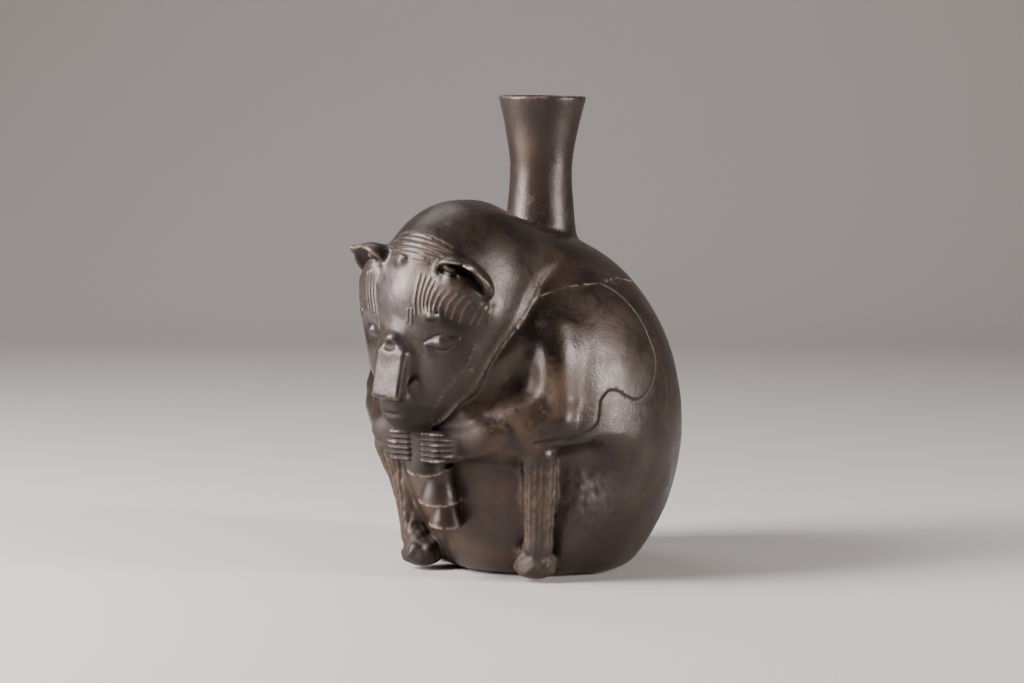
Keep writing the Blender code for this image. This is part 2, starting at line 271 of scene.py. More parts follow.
def face(points):
    """Muzzle, jaw, brows, eyes and ears, on the skull."""
    sides = paired(points)
    form = skull(points)
    form = join(form, ellipsoid(points, (0.0, -18.0, -44.2), (13.0, 15.0, 10.8)), 6.0)
    form = carve(form, ellipsoid(sides, (25.0, -35.5, -11.5), (11.0, 8.0, 8.5)), 6.0)
    form = join(form, ellipsoid(points, (-0.5, -25.4, -15.5), (8.6, 9.2, 9.5)), 7.0)
    form = join(form, rounded_box(points, (0.0, -22.2, -29.4), (8.3, 14.4, 11.2), 1.8, (-7.0, 0.0, 0.0)), 4.5)
    form = carve(form, ellipsoid(sides, (22.0, -29.6, -11.0), (9.0, 4.2, 5.6), (0.0, -15.0, 31.0)), 3.0)
    for corner in EYE_CORNERS:
        form = join(form, limb(sides, EYE, corner, 2.8, 0.6), 0.8)
    form = join(form, ellipsoid(sides, (9.6, -27.0, -31.5), (1.9, 4.2, 3.4), (0.0, 10.0, 0.0)), 1.5)
    form = carve(form, ellipsoid(points, (0.0, -35.0, -46.0), (9.0, 4.0, 0.9)), 1.6)
    form = join(form, ears(points), 2.0 + 7.0 * fade(-local(sides, EAR_PLACE, EAR_TURN)[..., 2], 1.0, 7.0))
    for boss, pit in BOSSES:
        form = join(form, ellipsoid(points, boss, (3.2, 2.6, 2.3)), 3.0)
        form = carve(form, ellipsoid(points, pit, (2.8, 1.9, 1.7)), 2.2)
    button = ellipsoid(points, BUTTON, (2.0, 2.2, 2.0))
    form = carve(form, np.maximum(ellipsoid(points, BUTTON, (3.5, 2.2, 3.5)), -button - 0.4), 0.5)
    return join(form, button, 0.4)


def arms(points):
    sides = paired(points)
    upper = limb(sides, around_pot(52.0, 58.5, 114.0), around_pot(52.5, 67.4, 84.0), 7.0, 8.2)
    fore = limb(sides, around_pot(52.0, 68.0, 75.5), around_pot(24.0, 70.0, 67.5), 7.8, 7.4)
    wrist = limb(sides, around_pot(24.0, 70.0, 67.0), (13.0, -70.5, 63.0), 7.4, 7.4)
    return join(upper, join(fore, wrist, 3.0), 3.0)


def paws(points):
    """Six fingers on each side of the stalk."""
    sides = paired(points)
    plan = sides * np.array((1.0, 1.0, 0.0))
    form = limb(plan, FINGERS[0], FINGERS[1], 3.0, 3.6)
    form = join(form, limb(plan, FINGERS[1], FINGERS[2], 3.6, 3.6), 1.0)
    rows = np.cos(2.0 * math.pi * (points[..., 2] - FINGER_TOP) / FINGER_PITCH)
    form = form - FINGER_RELIEF * rows * fade(22.0 - sides[..., 0], 0.0, 4.0)
    middle = FINGER_TOP - 2.5 * FINGER_PITCH
    reach = 3.0 * FINGER_PITCH - 2.8 * fade(sides[..., 0], 12.5, 20.0)
    return carve(form, reach - np.abs(points[..., 2] - middle), 1.5)


def legs(points):
    """Upright shins and rough feet, against the haunches."""
    form = np.full(points.shape[:-1], 1e3)
    for leg in LEGS:
        knee, shin, ankle, toe = (around_pot(*place) for place in leg)
        form = join(form, limb(points, knee, shin, 8.2, 7.6), 3.0)
        form = join(form, limb(points, shin, ankle, 7.6, 6.4), 3.0)
        form = join(form, limb(points, ankle, toe, 6.4, 7.6), 2.0)
        form = join(form, ellipsoid(points, toe, (9.6, 9.4, 7.6), (0.0, 0.0, leg[-1][0])), 1.5)
    return form


def stalk(points):
    """A stack of three flaring joints under the paws, and the stem that the paws hold."""
    form = limb(points, (0.0, -73.0, 72.0), (0.0, -69.0, 56.0), 6.2, 8.4)
    for rim, rim_radius in STALK_JOINTS:
        seen = local(points, rim, STALK_TURN)
        flare = rim_radius - 3.0 * fade(seen[..., 2], -1.0, 12.0)
        joint = np.maximum((length(seen[..., :2]) - flare) * 0.96, np.abs(seen[..., 2] - 8.0) - 8.6)
        form = join(form, joint, 0.8)
    return form


def spout_frame(points):
    """Each point's distance from the spout's axis, and its height over the spout's root."""
    seen = local(points, (0.0, SPOUT_BACK, SPOUT_ROOT), (0.0, SPOUT_LEAN, 0.0))
    return length(seen[..., :2]), seen[..., 2]


def spout_radius(share):
    """The spout's outer radius, this share of the way from its root to its lip."""
    below = (SPOUT_ROOT_RADIUS - SPOUT_WAIST_RADIUS) * np.maximum(0.0, 1.0 - share / SPOUT_WAIST_SHARE) ** 2
    above = np.maximum(0.0, (share - SPOUT_WAIST_SHARE) / (1.0 - SPOUT_WAIST_SHARE))
    return SPOUT_WAIST_RADIUS + below + (SPOUT_LIP_RADIUS - SPOUT_WAIST_RADIUS) * above**SPOUT_FLARE


def spout(points):
    around, up = spout_frame(points)
    side = (around - spout_radius(up / SPOUT_LENGTH)) * 0.95
    wide = np.maximum(side + LIP_ROUNDING, 0.0)
    high = np.maximum(up - SPOUT_LENGTH + LIP_ROUNDING, 0.0)
    inside = np.minimum(np.maximum(side, up - SPOUT_LENGTH) + LIP_ROUNDING, 0.0)
    return np.maximum(np.sqrt(wide**2 + high**2) + inside - LIP_ROUNDING, -up - 6.0)


def bore(points):
    around, up = spout_frame(points)
    share = np.clip(up / SPOUT_LENGTH, 0.0, 1.0)
    return np.maximum((around - spout_radius(share) + SPOUT_WALL - 0.8 * share) * 0.95, -up - BORE_DEPTH)


def figure(points):
    """The bear's outer surface: less than zero inside it."""
    form = join(body(points), legs(points), 2.5)
    form = join(form, arms(points), 2.5 + 6.0 * fade(points[..., 2], 80.0, 110.0))
    near = within(points, HAND_REGION)
    form[near] = join(form[near], stalk(points[near]), 1.2)
    form[near] = join(form[near], paws(points[near]), 0.8)
    head = fold(points)
    near = within(points, HEAD_REGION)
    head[near] = join(head[near], face(local(points[near], HEAD_CENTRE, HEAD_TURN)), 4.0)
    form = join(form, head, nape(points))
    return carve(form, points[..., 2], BASE_ROUNDING)


def hollow(points):
    """The space inside, a wall's thickness in from the body and head."""
    head = join(hood(points), skull(local(points, HEAD_CENTRE, HEAD_TURN)), 6.0)
    form = join(body(points), head, nape(points)) + WALL
    return carve(form, points[..., 2] - FLOOR, BASE_ROUNDING)


def vessel(points):
    """The whole bottle: the figure with its spout, hollow inside."""
    form = join(figure(points), spout(points), 2.5)
    return carve(form, join(hollow(points), bore(points), 1.0), 1.0)


def without_touching(grid):
    """The grid with its surface's touching corners filled, so that no two sheets share an edge or a point."""
    while True:
        corners = {c: grid[tuple(slice(k, k + n - 1) for k, n in zip(c, grid.shape))] for c in CORNERS}
        inside = {c: corners[c] < 0.0 for c in CORNERS}
        touching = np.zeros(inside[CORNERS[0]].shape, bool)
        for axis in range(3):
            for side in (0, 1):
                a, b, c, d = (inside[corner] for corner in CORNERS if corner[axis] == side)
                touching |= (a == d) & (b == c) & (a != b)
        count = sum(inside[corner].astype(int) for corner in CORNERS)
        for corner in CORNERS[:4]:
            opposite = tuple(1 - k for k in corner)
            same = inside[corner] == inside[opposite]
            touching |= same & (count == np.where(inside[corner], 2, 6))
        if not touching.any():
            return grid
        for corner in CORNERS:
            fill = touching & ~inside[corner]
            corners[corner][fill] = -TOUCH_FILL


def lattice(low, high, step, fine_from=0.0, fine_to=0.0):
    """Evenly spaced places from low to high, twice as close between fine_from and fine_to."""
    places = [low]
    while places[-1] < high or len(places) % BLOCK:
        places.append(places[-1] + (step / 2 if fine_from < places[-1] < fine_to else step))
    return np.array(places)


def surface_net(field, axes):
    """Points and quads of the surface where the field is zero, on a grid with these places along its axes."""
    blocks = [axis.reshape(-1, BLOCK) for axis in axes]
    middles = np.stack(np.meshgrid(*[block.mean(axis=1) for block in blocks], indexing="ij"), axis=-1)
    middle_values = field(middles)
    grid = middle_values
    for axis in range(3):
        grid = grid.repeat(BLOCK, axis)
    counts = np.array(grid.shape)
    reach = BAND * max(np.diff(axis).max() for axis in axes)
    near = np.argwhere(np.abs(middle_values) < reach)
    inner = np.moveaxis(np.indices((BLOCK, BLOCK, BLOCK)), 0, -1).reshape(-1, 3)
    cells = (near[:, None] * BLOCK + inner).reshape(-1, 3)
    grid[tuple(cells.T)] = field(np.stack([axis[cells[:, k]] for k, axis in enumerate(axes)], axis=-1))
    grid = without_touching(grid)
    total = np.zeros((counts.prod(), 3))
    share = np.zeros(counts.prod())
    rings = []
    for axis in range(3):
        start = grid[tuple(slice(None, -1) if a == axis else slice(None) for a in range(3))]
        end = grid[tuple(slice(1, None) if a == axis else slice(None) for a in range(3))]
        edges = np.argwhere((start < 0) != (end < 0))
        first, last = start[tuple(edges.T)], end[tuple(edges.T)]
        crossing = edges.astype(float)
        crossing[:, axis] += first / (first - last)
        one, other = np.eye(3, dtype=int)[[(axis + 1) % 3, (axis + 2) % 3]]
        ring = [edges - one * a - other * b for a, b in ((0, 0), (1, 0), (1, 1), (0, 1))]
        cells = np.stack([np.ravel_multi_index(cell.T, counts) for cell in ring], axis=1)
        for corner in range(4):
            share += np.bincount(cells[:, corner], minlength=len(share))
            for a in range(3):
                total[:, a] += np.bincount(cells[:, corner], crossing[:, a], len(share))
        rings.append(np.where((first < 0)[:, None], cells, cells[:, ::-1]))
    used = np.flatnonzero(share)
    index = np.zeros(len(share), int)
    index[used] = np.arange(len(used))
    places = total[used] / share[used, None]
    mapped = [np.interp(places[:, k], np.arange(len(axis)), axis) for k, axis in enumerate(axes)]
    points = np.stack(mapped, axis=-1)
    return points, index[np.concatenate(rings)]


def gradient(field, points, reach=0.12):
    """Which way the field rises, from four places around each point."""
    total = np.zeros_like(points)
    for way in ((1, -1, -1), (-1, -1, 1), (-1, 1, -1), (1, 1, 1)):
        way = np.array(way, float)
        total += field(points + way * reach)[:, None] * way
    return total / (4.0 * reach)


def settled(field, points, rounds, most):
    """The points moved onto the surface, by no more than this much in a round."""
    for _ in range(rounds):
        slope = gradient(field, points)
        move = -field(points)[:, None] * slope / np.maximum((slope * slope).sum(axis=1), 0.05)[:, None]
        size = np.maximum(length(move), 1e-9)[:, None]
        points = points + move * np.minimum(1.0, most / size)
    return points


def divided(points, triangles, wanted):
    """The mesh with each edge that is longer than wanted cut in half."""
    pairs = np.sort(triangles[:, [[0, 1], [1, 2], [2, 0]]].reshape(-1, 2), axis=1)
    keys, inverse = np.unique(pairs[:, 0] * len(points) + pairs[:, 1], return_inverse=True)
    ends = np.stack([keys // len(points), keys % len(points)], axis=1)
    middles = points[ends].mean(axis=1)
    long = length(points[ends[:, 0]] - points[ends[:, 1]]) > wanted(middles)
    index = np.where(long, len(points) + np.cumsum(long) - 1, -1)
    cuts = index[inverse].reshape(-1, 3)
    # Each triangle is turned so that its first side is cut, and where two are, so are its first two.
    number = (cuts >= 0).sum(axis=1)
    after_uncut = ((cuts < 0).argmax(axis=1) + 1) % 3
    first = np.where(number == 1, (cuts >= 0).argmax(axis=1), after_uncut * (number == 2))
    turn = (first[:, None] + np.arange(3)) % 3
    corners = np.take_along_axis(triangles, turn, axis=1)
    cuts = np.take_along_axis(cuts, turn, axis=1)
    a, b, c = corners.T
    ab, bc, ca = cuts.T
    made = [corners[number == 0]]
    patterns = {
        1: ((a, ab, c), (ab, b, c)),
        2: ((a, ab, c), (ab, b, bc), (ab, bc, c)),
        3: ((a, ab, ca), (ab, b, bc), (ca, bc, c), (ab, bc, ca)),
    }
    for count, pattern in patterns.items():
        chosen = number == count
        made += [np.stack([corner[chosen] for corner in part], axis=1) for part in pattern]
    return np.concatenate([points, middles[long]]), np.concatenate(made)


# Where lines are drawn on the clay, in the photograph's pixels, to be laid on the surface from the camera.
CROWN_HAIR = (
    ((410.5, 233.8), (425.7, 234.8), (440, 239), (454, 248)),
    ((399, 236.8), (416.8, 238.2), (434.6, 243.6), (452.5, 252.5)),
    ((393.6, 240.9), (411.4, 242.7), (429.3, 248.5), (442.7, 254.3)),
    ((388.2, 245.4), (407.9, 247.1), (420.4, 251.6), (434.6, 258.5)),
    ((384.6, 249.5), (396, 250), (409, 252.5), (424, 258)),
    ((411.4, 259.6), (418.6, 261.4), (428.4, 263.6)),
)
BROW_HAIR = (
    ((407.9, 310), (407.6, 322)),
    ((411.4, 309), (411.2, 324)),
    ((420, 274), (416.5, 289), (414.5, 303), (415, 314)),
    ((425, 276), (420.8, 290), (419, 303), (420, 315)),
    ((430, 278), (424.8, 290), (422.6, 303), (423.6, 313)),
    ((434.5, 281), (428.6, 292.6), (426.2, 304), (427, 313.5)),
    ((439, 285), (433, 294.6), (430, 305), (430, 313)),
    ((443.5, 289), (437.4, 298.5), (434, 308), (433.6, 315)),
)
TEMPLE_HAIR = (
    ((450, 292), (442.6, 300.8), (438.6, 311.4)),
    ((457.5, 294), (449.4, 303.6), (445, 315)),
    ((464.5, 296), (456.6, 306), (451.6, 318)),
    ((471, 300), (463.8, 310), (459.6, 322)),
    ((482.4, 304.3), (475.7, 313.2), (470.8, 323)),
    ((488, 306), (482.4, 315), (476.6, 325)),
    ((494, 304.3), (490.6, 314), (487.8, 323)),
)
FAR_HAIR = (
    ((367.2, 272), (366.6, 290), (368, 306), (371, 321)),
    ((370, 270.4), (369.2, 290), (370.8, 307), (374, 322)),
    ((373, 270.4), (372, 290), (373.8, 308), (376.6, 324)),
    ((376, 273), (374.8, 290), (376.8, 311), (379.4, 328)),
)
JAW_LINE = ((475, 345), (466, 366), (451, 384.6), (440, 399), (433, 412), (430, 424))
EYE_LIDS = (
    ((425, 341.5), (433.7, 336), (443, 334), (452, 334.5), (462, 337)),
    ((428, 346.5), (436, 350), (445, 350.6), (453, 347)),
)
FLANK_LINE = (
    (601, 284), (618, 294), (633, 309), (644, 326), (651, 343), (655, 359), (654, 375), (648, 390),
    (638, 399), (627, 396), (619, 391), (610, 390), (604, 395), (600, 402), (599, 413), (596, 424),
    (587, 431), (573, 436), (552, 439), (534, 443),
)
FILLED_CRACK = ((541, 296), (559, 289), (579, 285), (601, 283), (618, 278), (639, 284))
LONG_CRACK = ((666, 378), (667, 393), (666, 408), (664, 424))


def sight_lines(pixels):
    """The camera's place, and the way it looks through each pixel."""
    bearing = math.radians(CAMERA_BEARING)
    aside = np.array((math.cos(bearing), math.sin(bearing), 0.0))
    back = np.array((math.sin(bearing), -math.cos(bearing), 0.0))
    eye = back * CAMERA_DISTANCE + aside * CAMERA_ASIDE + np.array((0.0, 0.0, CAMERA_HEIGHT))
    axes = np.array(Euler((math.radians(90.0 - CAMERA_FALL), 0.0, bearing)).to_matrix())
    focal = LENS / SENSOR * PHOTO_WIDTH
    pixels = np.array(pixels, float)
    across = (pixels[:, 0] - PHOTO_WIDTH / 2) / focal
    down = (pixels[:, 1] - PHOTO_HEIGHT / 2) / focal
    ways = np.stack([across, -down, -np.ones(len(pixels))], axis=1) @ axes.T
    return eye / UNIT, ways / length(ways)[:, None]


def on_surface(pixels, field):
    """The places that the camera sees through these pixels."""
    eye, ways = sight_lines(pixels)
    far = np.full(len(ways), length(eye) - 130.0)
    for _ in range(60):
        far += 0.7 * field(eye + far[:, None] * ways)
    return eye + far[:, None] * ways


def drawn(pixels, spacing=1.0):
    """Close places along a smooth curve through a few pixels."""
    pixels = np.array(pixels, float)
    padded = np.concatenate([[2 * pixels[0] - pixels[1]], pixels, [2 * pixels[-1] - pixels[-2]]])
    made = []
    for a, b, c, d in zip(padded, padded[1:], padded[2:], padded[3:]):
        count = max(2, int(length(c - b) / spacing))
        t = (np.arange(count) / count)[:, None]
        curve = 2 * b + (c - a) * t + (2 * a - 5 * b + 4 * c - d) * t**2 + (3 * b - a - 3 * c + d) * t**3
        made.append(0.5 * curve)
    return np.concatenate(made + [pixels[-1:]])


def dense(places, spacing=0.3):
    """The same line in three dimensions with places no further apart than this."""
    made = [places[:1]]
    for first, last in zip(places, places[1:]):
        count = max(1, int(math.ceil(length(last - first) / spacing)))
        made.append(first + (last - first) * (np.arange(1, count + 1) / count)[:, None])
    return np.concatenate(made)


class Strokes:
    """Lines on the surface, and each point's distance from the nearest of them."""

    def __init__(self, lines, field, mirrored=False, head=False):
        places = np.concatenate([dense(on_surface(drawn(line), field)) for line in lines])
        if mirrored:
            seen = local(places, HEAD_CENTRE, HEAD_TURN) if head else places
            other = seen * np.array((-1.0, 1.0, 1.0))
            if head:
                axes = np.array(Euler([math.radians(angle) for angle in HEAD_TURN]).to_matrix())
                other = other @ axes.T + np.array(HEAD_CENTRE)
            places = np.concatenate([places, settled(field, other, 3, 2.0)])
        self.low = places.min(axis=0) - 4.0
        self.high = places.max(axis=0) + 4.0
        self.tree = kdtree.KDTree(len(places))
        for index, place in enumerate(places):
            self.tree.insert(place, index)
        self.tree.balance()

    def distance(self, points):
        found = np.full(len(points), 99.0)
        for index in np.flatnonzero(within(points, (self.low, self.high))):
            found[index] = self.tree.find(points[index])[2]
        return found


def waves(points, wavelength, count, seed):
    """Soft unevenness without a direction, about -1 to 1."""
    random = np.random.default_rng(seed)
    total = np.zeros(len(points))
    for _ in range(count):
        way = random.normal(size=3)
        way *= 2.0 * math.pi / wavelength * random.uniform(0.7, 1.4) / math.sqrt(way @ way)
        total += np.sin(points @ way + random.uniform(0.0, 2.0 * math.pi))
    return total / math.sqrt(count)


def wanted(points, strokes):
    """How long an edge of the mesh may be at each point."""
    inner = hollow(points) < 1.0
    size = np.full(len(points), BODY_EDGE)
    head = within(points, HEAD_REGION) & (points[:, 1] < -60.0)
    size[head] = HEAD_EDGE
    seen = local(points, HEAD_CENTRE, HEAD_TURN)
    size[head & (seen[:, 1] < -12.0)] = FACE_EDGE
    size[within(points, HAND_REGION) & (points[:, 1] < -50.0)] = HAND_EDGE
    size[np.maximum(shin_share(points), roughness(points)) > 0.1] = LEG_EDGE
    around, up = spout_frame(points)
    size[(up > SPOUT_LENGTH - 4.0) & (around < 30.0)] = LIP_EDGE
    near = np.min([stroke.distance(points) for stroke in strokes], axis=0)
    size[near < 1.3] = LINE_EDGE
    size[inner] = INSIDE_EDGE
    return size * 1.0


def shin_share(points):
    """How much each point is on a shin, which has upright strokes scratched in it."""
    share = np.zeros(len(points))
    for leg in LEGS:
        knee, ankle = around_pot(*leg[0]), around_pot(*leg[2])
        near = fade(-limb(points, knee, ankle, 8.4, 6.8), -1.2, -0.2)
        share = np.maximum(share, near * fade(points[:, 2], 14.0, 22.0) * fade(58.0 - points[:, 2], 0.0, 6.0))
    return share


def fold_share(points):
    """How much each point is on the crest of the hood's rim."""
    share = np.exp(-(((body(points) - 2.6) / 0.75) ** 2)) * np.exp(-(((hood(points) - 1.0) / 1.1) ** 2))
    return share * fade(-points[:, 2], -158.0, -146.0)


def mouth_shade_share(points):
    """How much each point takes the painted shade of the mouth, under the muzzle."""
    seen = local(points, HEAD_CENTRE, HEAD_TURN)
    return fade(-seen[:, 2], 39.0, 42.5) * fade(-seen[:, 1], 8.0, 18.0)


def rim_share(points):
    """How much each point is on the thin rim at the foot of one of the stalk's joints."""
    share = np.zeros(len(points))
    for rim, rim_radius in STALK_JOINTS:
        seen = local(points, rim, STALK_TURN)
        wide = (length(seen[:, :2]) - rim_radius) / 0.9
        share = np.maximum(share, np.exp(-((seen[:, 2] / 0.6) ** 2) - wide**2))
    return share


def roughness(points):
    """How rough each point is: the feet, and the broken ground behind each knee."""
    share = np.zeros(len(points))
    for leg in LEGS:
        toe = np.array(around_pot(*leg[3]))
        share = np.maximum(share, fade(14.0 - length(points - toe), 0.0, 4.0))
        ground = around_pot(leg[1][0] + math.copysign(17.0, leg[1][0]), 68.0, 36.0)
        share = np.maximum(share, 0.8 * np.exp(-((length(points - np.array(ground)) / 13.0) ** 2)))
    return share * fade(points[:, 2], 0.6, 5.0) * fade(hollow(points), 1.0, 3.0)


def chips(points):
    """Small chips around the spout's lip."""
    around, up = spout_frame(points)
    return fade(up, SPOUT_LENGTH - 2.5, SPOUT_LENGTH - 0.5) * fade(waves(points, 11.0, 6, 7), 0.9, 1.9)


def striations(points):
    """Upright scratches, as waves around the pot with a seeded irregularity."""
    bearing = np.degrees(np.arctan2(points[:, 0], -points[:, 1]))
    bend = 0.5 * waves(points, 40.0, 4, 5)
    return 0.6 * np.sin(bearing * 3.1 + bend) + 0.4 * np.sin(bearing * 5.3 + 2.0 * bend)


def make_vessel():
    low, high = BOX
    axes = [lattice(low[0], high[0], STEP, -30.0, 22.0), lattice(low[1], high[1], STEP, -99.0, -62.0)]
    axes.append(lattice(low[2], high[2], STEP, 18.0, 76.0))
    points, quads = surface_net(vessel, axes)
    triangles = np.concatenate([quads[:, [0, 1, 2]], quads[:, [0, 2, 3]]])
    hair = Strokes(CROWN_HAIR + TEMPLE_HAIR[4:], vessel, mirrored=True, head=True)
    brow = Strokes(BROW_HAIR + TEMPLE_HAIR[:4] + FAR_HAIR, vessel)
    lids = Strokes(EYE_LIDS, vessel)
    jaw = Strokes((JAW_LINE,), vessel, mirrored=True, head=True)
    flank = Strokes((FLANK_LINE,), vessel, mirrored=True)
    crack = Strokes((FILLED_CRACK,), vessel)
    split = Strokes((LONG_CRACK,), vessel)
    strokes = (hair, brow, lids, flank, crack, split)
    for _ in range(3):
        points, triangles = divided(points, triangles, lambda at: EDGE_SLACK * wanted(at, strokes))
        points = settled(vessel, points, 1, 0.6)
    points = settled(vessel, points, 2, 0.3)
    slope = gradient(vessel, points)
    normals = slope / np.maximum(length(slope), 1e-6)[:, None]
    outside = fade(hollow(points), 1.0, 3.0)
    marks = {
        "hair": np.exp(-((np.minimum(hair.distance(points), brow.distance(points)) / 0.48) ** 2)),
        "lids": np.exp(-((lids.distance(points) / 0.42) ** 2)),
        "jaw": np.exp(-((jaw.distance(points) / 0.9) ** 2)),
        "flank": np.exp(-((flank.distance(points) / 0.45) ** 2)),
        "crack": np.exp(-((crack.distance(points) / 0.26) ** 2)) * fade(waves(points, 7.0, 6, 9), -1.0, 0.4),
        "split": np.exp(-((split.distance(points) / 0.35) ** 2)),
        "shin": shin_share(points),
        "fold": fold_share(points),
        "rims": rim_share(points),
        "rough": roughness(points),
        "mouth": mouth_shade_share(points),
    }
    grooves = striations(points)
    fine = waves(points, 3.2, 8, 3)
    marks["streak"] = marks["shin"] * fade(grooves, 0.1, 0.9)
    lift = 0.28 * marks["hair"] - 0.30 * marks["lids"] - 0.45 * marks["flank"] + 0.05 * marks["crack"]
    lift += (0.22 + 0.12 * fine) * marks["jaw"] - 0.25 * marks["split"]
    lift += marks["shin"] * (0.24 * grooves + 0.12 * fine) + 0.28 * marks["rims"]
    lift += 0.12 * marks["fold"] * fine
    lift -= 0.7 * chips(points)
    lift += outside * (0.10 * waves(points, 22.0, 8, 1) + 0.03 * waves(points, 7.0, 8, 2))
    lift += marks["rough"] * (0.22 * fine + 0.34 * waves(points, 6.5, 8, 4))
    points = points + normals * lift[:, None]
    return points, triangles, marks


def smoothed(values, ends, rounds):
    """The values averaged with their neighbours'."""
    count = np.bincount(ends.ravel(), minlength=len(values))
    for _ in range(rounds):
        total = np.bincount(ends[:, 0], values[ends[:, 1]], len(values))
        total += np.bincount(ends[:, 1], values[ends[:, 0]], len(values))
        values = 0.5 * values + 0.5 * total / np.maximum(count, 1)
    return values


def bend(points, triangles):
    """How sharply the surface turns at each point, in 1/mm: more than zero on a ridge, less in a groove."""
    corners = points[triangles]
    faces = np.cross(corners[:, 1] - corners[:, 0], corners[:, 2] - corners[:, 0])
    normals = np.stack([
        sum(np.bincount(triangles[:, k], faces[:, a], len(points)) for k in range(3)) for a in range(3)
    ], axis=1)
    normals /= np.maximum(length(normals), 1e-9)[:, None]
    pairs = np.sort(triangles[:, [[0, 1], [1, 2], [2, 0]]].reshape(-1, 2), axis=1)
    keys = np.unique(pairs[:, 0] * len(points) + pairs[:, 1])
    ends = np.stack([keys // len(points), keys % len(points)], axis=1)
    way = points[ends[:, 1]] - points[ends[:, 0]]
    turn = ((normals[ends[:, 1]] - normals[ends[:, 0]]) * way).sum(axis=1)
    turn = turn / np.maximum((way * way).sum(axis=1), 1e-6)
    total = np.bincount(ends[:, 0], turn, len(points)) + np.bincount(ends[:, 1], turn, len(points))
    count = np.bincount(ends.ravel(), minlength=len(points))
    return smoothed(total / np.maximum(count, 1), ends, 3)


class Nodes:
    """A short way to write a material's nodes."""

    def __init__(self, name):
        self.material = bpy.data.materials.new(name)
        self.material.use_nodes = True
        self.tree = self.material.node_tree
        self.shader = self.tree.nodes["Principled BSDF"]

    def add(self, kind, inputs=(), **settings):
        node = self.tree.nodes.new(kind)
        for name, value in settings.items():
            setattr(node, name, value)
        for name, value in dict(inputs).items():
            if isinstance(value, bpy.types.NodeSocket):
                self.tree.links.new(value, node.inputs[name])
            else:
                node.inputs[name].default_value = value
        return node

    def math(self, operation, first, second=0.0):
        return self.add("ShaderNodeMath", {0: first, 1: second}, operation=operation).outputs[0]

    def ramp(self, value, low, high):
        """0 below low and 1 above high, smooth between."""
        made = self.add("ShaderNodeMapRange", {"Value": value, "From Min": low, "From Max": high})
        made.interpolation_type = "SMOOTHSTEP"
        return made.outputs["Result"]

    def mix(self, share, first, second):
        made = self.add("ShaderNodeMix", data_type="RGBA")
        for socket, value in zip((made.inputs[0], made.inputs[6], made.inputs[7]), (share, first, second)):
            if isinstance(value, bpy.types.NodeSocket):
                self.tree.links.new(value, socket)
            else:
                socket.default_value = value if isinstance(value, float) else (*value, 1.0)
        return made.outputs[2]

    def noise(self, scale, detail=4.0, rough=0.55, stretch=(1.0, 1.0, 1.0), lean=0.0):
        place = self.add("ShaderNodeTexCoord").outputs["Object"]
        if stretch != (1.0, 1.0, 1.0):
            place = self.add("ShaderNodeMapping", {"Vector": place, "Scale": stretch}).outputs[0]
        inputs = {"Vector": place, "Scale": scale, "Detail": detail, "Roughness": rough, "Distortion": lean}
        return self.add("ShaderNodeTexNoise", inputs).outputs["Fac"]

    def mark(self, name):
        return self.add("ShaderNodeAttribute", attribute_name=name).outputs["Fac"]


